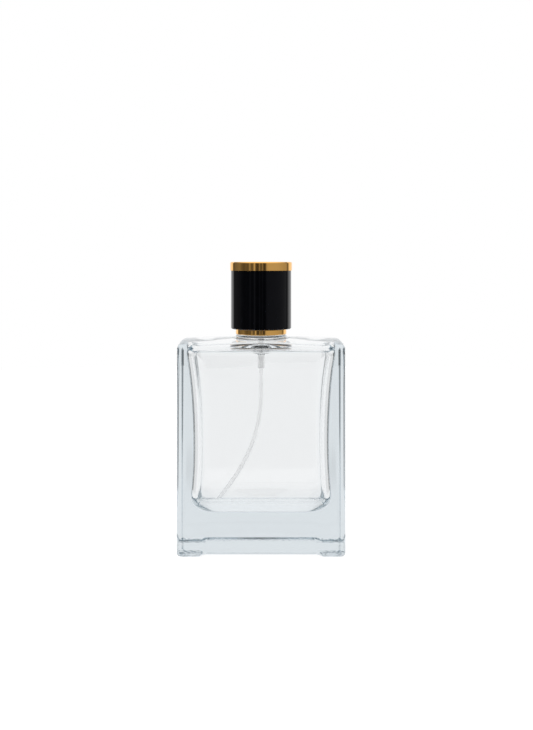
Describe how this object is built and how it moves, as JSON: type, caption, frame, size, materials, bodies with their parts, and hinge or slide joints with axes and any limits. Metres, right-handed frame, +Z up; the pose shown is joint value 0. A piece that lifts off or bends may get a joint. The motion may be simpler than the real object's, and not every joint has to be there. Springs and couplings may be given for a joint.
{
  "type": "aftershave bottle",
  "caption": "Thick-walled rectangular clear glass flacon with a crimped fine-mist spray pump, curved dip tube, stepped gold collar and a black push-on cap with a gold top.",
  "frame": {"origin": "centre of the base, on the plane that the four corner feet stand on", "axes": "+Z up along the neck and cap; -Y towards the front, where the spray nozzle points; +X to the right seen from the front"},
  "size_m": [0.0662, 0.038, 0.1155],
  "materials": {
    "clear_glass": "polished clear flint glass",
    "black_cap": "high-gloss black",
    "gold_metal": "bright gold anodised aluminium",
    "raw_aluminium": "plain drawn aluminium, satin",
    "natural_pp": "natural polypropylene, satin",
    "white_pe": "white polyethylene, satin",
    "tube_pe": "translucent extruded polyethylene",
    "black_pp": "black polypropylene, satin",
    "seal_rubber": "smooth black elastomer",
    "stainless": "bright drawn stainless steel"
  },
  "bodies": {
    "bottle": {"glass_bottle": "clear_glass", "neck_gasket": "white_pe", "pump_housing": "natural_pp", "return_spring": "stainless", "stem_gasket": "seal_rubber", "turret": "natural_pp", "ferrule": "raw_aluminium", "dip_tube": "tube_pe", "collar_insert": "natural_pp", "collar": "gold_metal"},
    "ball": {"inlet_ball": "stainless"},
    "stem": {"stem": "natural_pp", "stem_core": "white_pe"},
    "piston": {"piston": "white_pe"},
    "actuator": {"actuator": "black_pp", "nozzle_insert": "white_pe", "actuator_shell": "gold_metal"},
    "cap": {"cap_liner": "natural_pp", "cap_shell": "black_cap", "cap_top": "gold_metal"}
  },
  "joints": [
    {"name": "cap_lift", "type": "slide", "parent": "bottle", "child": "cap", "axis": [0, 0, 1], "range_m": [0, 0.04]},
    {"name": "spray_press", "type": "slide", "parent": "bottle", "child": "stem", "axis": [0, 0, -1], "range_m": [0, 0.0038], "stiffness_N_per_m": 2500, "springref_m": -0.0015, "deforming": ["return_spring"]},
    {"name": "piston_slip", "type": "slide", "parent": "stem", "child": "piston", "axis": [0, 0, 1], "range_m": [0, 0.0005]},
    {"name": "button_turn", "type": "hinge", "parent": "stem", "child": "actuator", "pos_m": [0, 0, 0.1007], "axis": [0, 0, 1], "continuous": true},
    {"name": "ball_lift", "type": "slide", "parent": "bottle", "child": "ball", "axis": [0, 0, 1], "range_m": [0, 0.001]}
  ]
}
